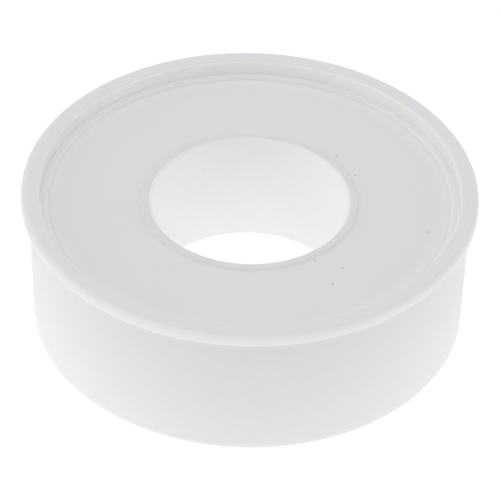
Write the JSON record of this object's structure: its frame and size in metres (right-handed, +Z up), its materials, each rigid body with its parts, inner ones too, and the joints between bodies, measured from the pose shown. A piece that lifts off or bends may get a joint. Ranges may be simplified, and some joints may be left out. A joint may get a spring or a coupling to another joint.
{
  "type": "thread seal tape roll",
  "caption": "Round roll of thread seal tape: a lipped cover with a recessed disc spool inside, an open hub bore through the middle, and soft tape wound on the hub.",
  "frame": {"origin": "middle of the ring that the cover stands on", "axes": "+Z up along the bore, from the cover's foot to its mouth; X and Y across the roll, with the tape's last turn starting on +X"},
  "size_m": [0.054, 0.054, 0.0186],
  "materials": {
    "cover_plastic": "satin moulded plastic, white",
    "spool_plastic": "matt moulded plastic, white with a faint lilac grey",
    "seal_tape": "soft satin white tape"
  },
  "bodies": {
    "cover": {"cover": "cover_plastic"},
    "spool": {"spool": "spool_plastic"},
    "tape": {"tape_pack": "seal_tape", "tape_tail": "seal_tape"}
  },
  "joints": [
    {"name": "spool_lift", "type": "slide", "parent": "cover", "child": "spool", "axis": [0, 0, 1], "range_m": [0, 0.02]},
    {"name": "tape_turn", "type": "hinge", "parent": "spool", "child": "tape", "pos_m": [0, 0, 0.0093], "axis": [0, 0, 1], "continuous": true}
  ]
}
